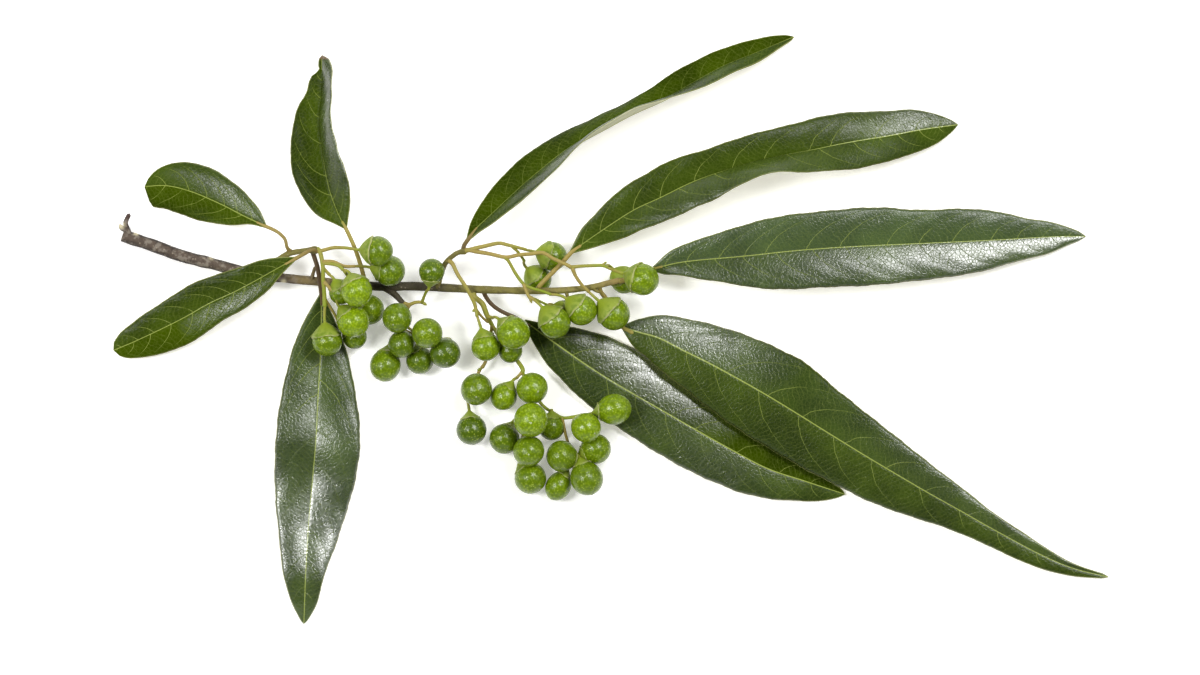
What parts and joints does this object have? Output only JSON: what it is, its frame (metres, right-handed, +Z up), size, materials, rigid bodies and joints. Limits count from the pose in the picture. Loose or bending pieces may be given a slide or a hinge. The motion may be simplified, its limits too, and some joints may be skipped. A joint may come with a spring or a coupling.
{
  "type": "may chang sprig",
  "caption": "Cut fruiting twig lying flat: long glossy lance-shaped leaves and loose bunches of small round green berries on thin stalks.",
  "frame": {"origin": "on the surface the sprig lies on, under the middle of its bounding box", "axes": "+X along the sprig's length, from the cut end of the twig to the long leaf tips; +Y across it, towards the side of the three upper leaves; +Z up, away from the surface"},
  "size_m": [0.1795, 0.1061, 0.0134],
  "materials": {
    "bark": "matt bark, grey-brown at the cut end and olive-tan at the thin end",
    "leaf": "glossy dark green above with pale veins, matt pale olive below",
    "berry_and_stalk": "satin yellow-green berry skin with pale specks, tan-green stalks"
  },
  "bodies": {
    "root": {"woody_stem": "bark", "leaf_a": "leaf", "leaf_b": "leaf", "leaf_c": "leaf", "leaf_d": "leaf", "leaf_e": "leaf", "leaf_f": "leaf", "leaf_g": "leaf", "leaf_h": "leaf", "leaf_i": "leaf", "spray_hanging": "berry_and_stalk", "spray_left": "berry_and_stalk", "spray_middle": "berry_and_stalk", "spray_right": "berry_and_stalk"}
  },
  "joints": []
}
